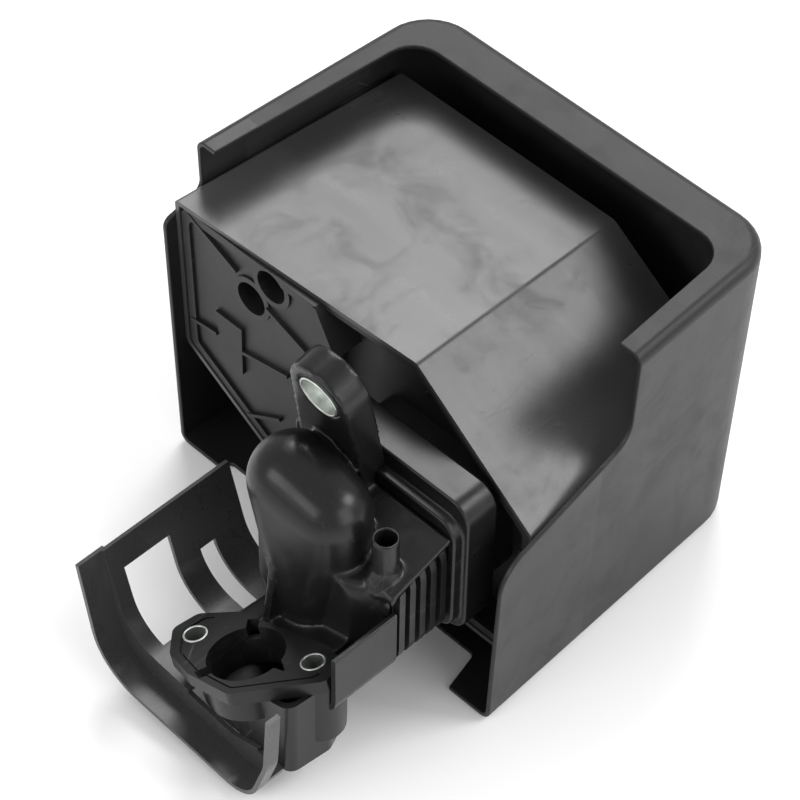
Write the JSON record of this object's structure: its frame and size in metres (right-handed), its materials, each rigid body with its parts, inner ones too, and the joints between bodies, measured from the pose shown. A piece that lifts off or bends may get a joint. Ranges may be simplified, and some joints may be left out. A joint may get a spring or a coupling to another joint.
{
  "type": "air filter housing",
  "caption": "Boxed air filter housing with a lift-off cover, inner case, element on a centre stud, ribbed duct and elbow to a leaning two-stud flange.",
  "frame": {"origin": "centre of the footprint, on the plane of the outer face of the cover", "axes": "+Z from the outer face of the cover towards the engine, +Y towards the closed end of the cover, +X across the cover towards the side that holds the duct"},
  "size_m": [0.2052, 0.2786, 0.1672],
  "materials": {
    "cover_plastic": "satin moulded plastic with a fine grain on the outside",
    "case_plastic": "smooth, softly glossy",
    "plate_plastic": "satin moulded",
    "duct_plastic": "satin moulded",
    "shroud_plastic": "satin moulded with drawn marks inside",
    "plug_plastic": "satin",
    "knob_plastic": "satin",
    "sleeve_steel": "zinc plated",
    "stud_steel": "zinc plated",
    "core_metal": "plated sheet",
    "seal_rubber": "matte",
    "cap_rubber": "matte",
    "foam": "open-cell foam",
    "filter_paper": "pleated filter paper"
  },
  "bodies": {
    "housing": {"case_shell": "case_plastic", "base_plate": "plate_plastic", "cover_seal": "seal_rubber", "center_stud": "stud_steel", "stud_lock_nut": "stud_steel", "collar_frame": "duct_plastic", "bellows": "duct_plastic", "elbow_upper": "duct_plastic", "elbow_lower": "duct_plastic", "flange_plate": "duct_plastic", "stud_collars": "sleeve_steel", "lug_sleeve": "sleeve_steel", "drain_plug": "plug_plastic", "shroud": "shroud_plastic"},
    "cover": {"cover": "cover_plastic", "cover_grommet": "seal_rubber", "cover_washer": "stud_steel"},
    "cover_nut": {"cover_nut": "knob_plastic"},
    "element": {"foam_sleeve": "foam", "paper_pleats": "filter_paper", "core_tube": "core_metal", "inner_cap": "cap_rubber", "outer_cap": "cap_rubber", "element_seal": "seal_rubber", "element_washer": "stud_steel"},
    "element_nut": {"element_nut": "stud_steel"}
  },
  "joints": [
    {"name": "cover_lift", "type": "slide", "parent": "housing", "child": "cover", "axis": [0, 1, 0], "range_m": [0, 0.2]},
    {"name": "cover_nut_turn", "type": "hinge", "parent": "cover", "child": "cover_nut", "pos_m": [0.03646, 0.1263, 0.073], "axis": [0, 1, 0], "continuous": true},
    {"name": "element_lift", "type": "slide", "parent": "housing", "child": "element", "axis": [0, 1, 0], "range_m": [0, 0.15]},
    {"name": "element_nut_turn", "type": "hinge", "parent": "element", "child": "element_nut", "pos_m": [0.03646, 0.0873, 0.073], "axis": [0, 1, 0], "continuous": true}
  ],
  "couplings": [
    {"joint": "element_lift", "follows": "cover_lift", "ratio": 0.75}
  ]
}
